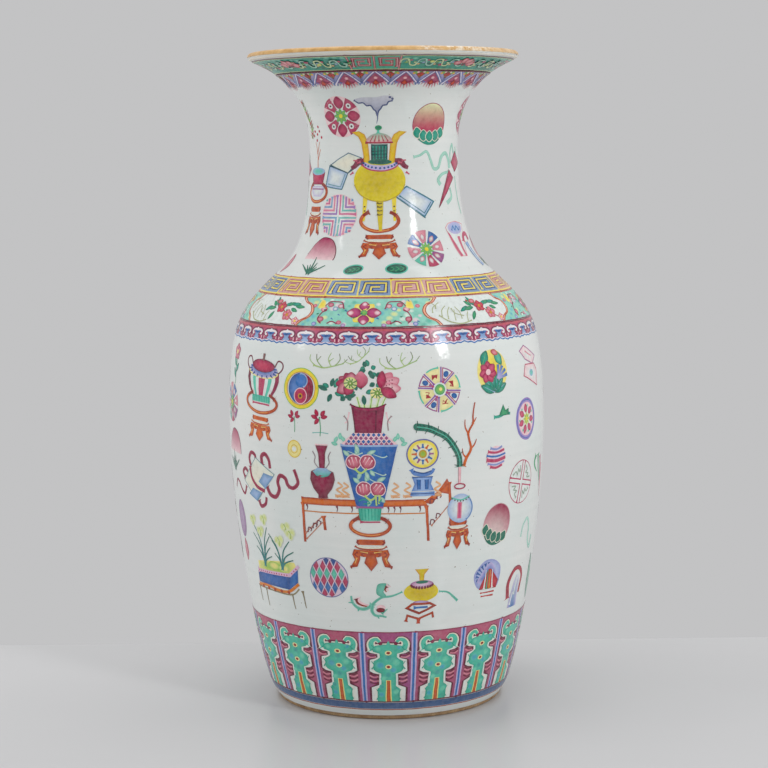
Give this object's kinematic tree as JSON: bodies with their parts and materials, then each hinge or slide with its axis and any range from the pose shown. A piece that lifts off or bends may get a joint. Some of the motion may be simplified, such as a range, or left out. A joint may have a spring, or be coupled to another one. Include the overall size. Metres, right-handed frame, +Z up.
{
  "type": "baluster vase",
  "caption": "Porcelain baluster vase: flared mouth, waisted neck, broad shoulder, tapering body and recessed foot, glazed inside and out, with enamel bands.",
  "frame": {"origin": "on the vase's axis, at the plane on which the foot ring rests", "axes": "+Z up along the axis of revolution, towards the mouth; -Y is the side with the tapering blue vase, the middle of the painted front; +X to its right"},
  "size_m": [0.2209, 0.221, 0.45],
  "materials": {
    "porcelain_clay": "matte",
    "bare_foot": "matte",
    "clear_glaze": "gloss",
    "lip_dressing": "satin",
    "overglaze_enamel": "gloss"
  },
  "bodies": {
    "root": {"neck_section": "porcelain_clay", "upper_body_section": "porcelain_clay", "lower_body_section": "porcelain_clay", "foot_ring": "bare_foot", "outer_glaze": "clear_glaze", "inner_glaze": "clear_glaze", "base_glaze": "clear_glaze", "lip_gilding": "lip_dressing", "enamel_bands": "overglaze_enamel"}
  },
  "joints": []
}
